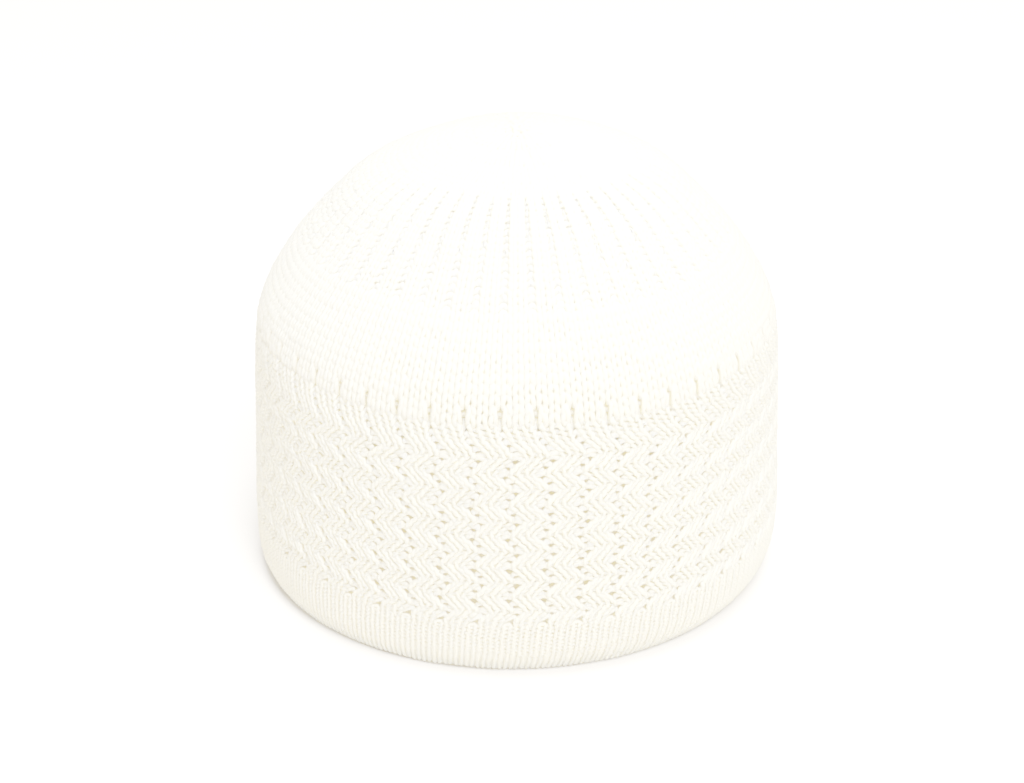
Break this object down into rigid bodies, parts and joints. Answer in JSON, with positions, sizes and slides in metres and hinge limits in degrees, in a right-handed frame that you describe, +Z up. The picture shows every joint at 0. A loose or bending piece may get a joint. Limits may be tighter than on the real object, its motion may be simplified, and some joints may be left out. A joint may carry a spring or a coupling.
{
  "type": "knitted skull cap",
  "caption": "Soft knitted skull cap with a folded hem, an openwork zigzag side wall, a ring of long eyelets and a round crown gathered at its centre; hollow and open below.",
  "frame": {"origin": "centre of the cap's outline seen from above, on the surface that the rim stands on", "axes": "+Z up through the crown; the picture's viewer looks along +Y with +X to the right, so the front of the cap is its -Y side"},
  "size_m": [0.1741, 0.174, 0.1468],
  "materials": {
    "hem_cotton": "matt white knitted cotton, folded double",
    "openwork_cotton": "matt white openwork knitted cotton",
    "plain_cotton": "matt white plain knitted cotton",
    "gather_cotton": "matt white cotton yarn, drawn together"
  },
  "bodies": {
    "root": {"hem_band": "hem_cotton", "zigzag_band": "openwork_cotton", "plain_band": "plain_cotton", "ladder_crown": "openwork_cotton", "crown_top": "plain_cotton", "crown_gather": "gather_cotton"}
  },
  "joints": []
}
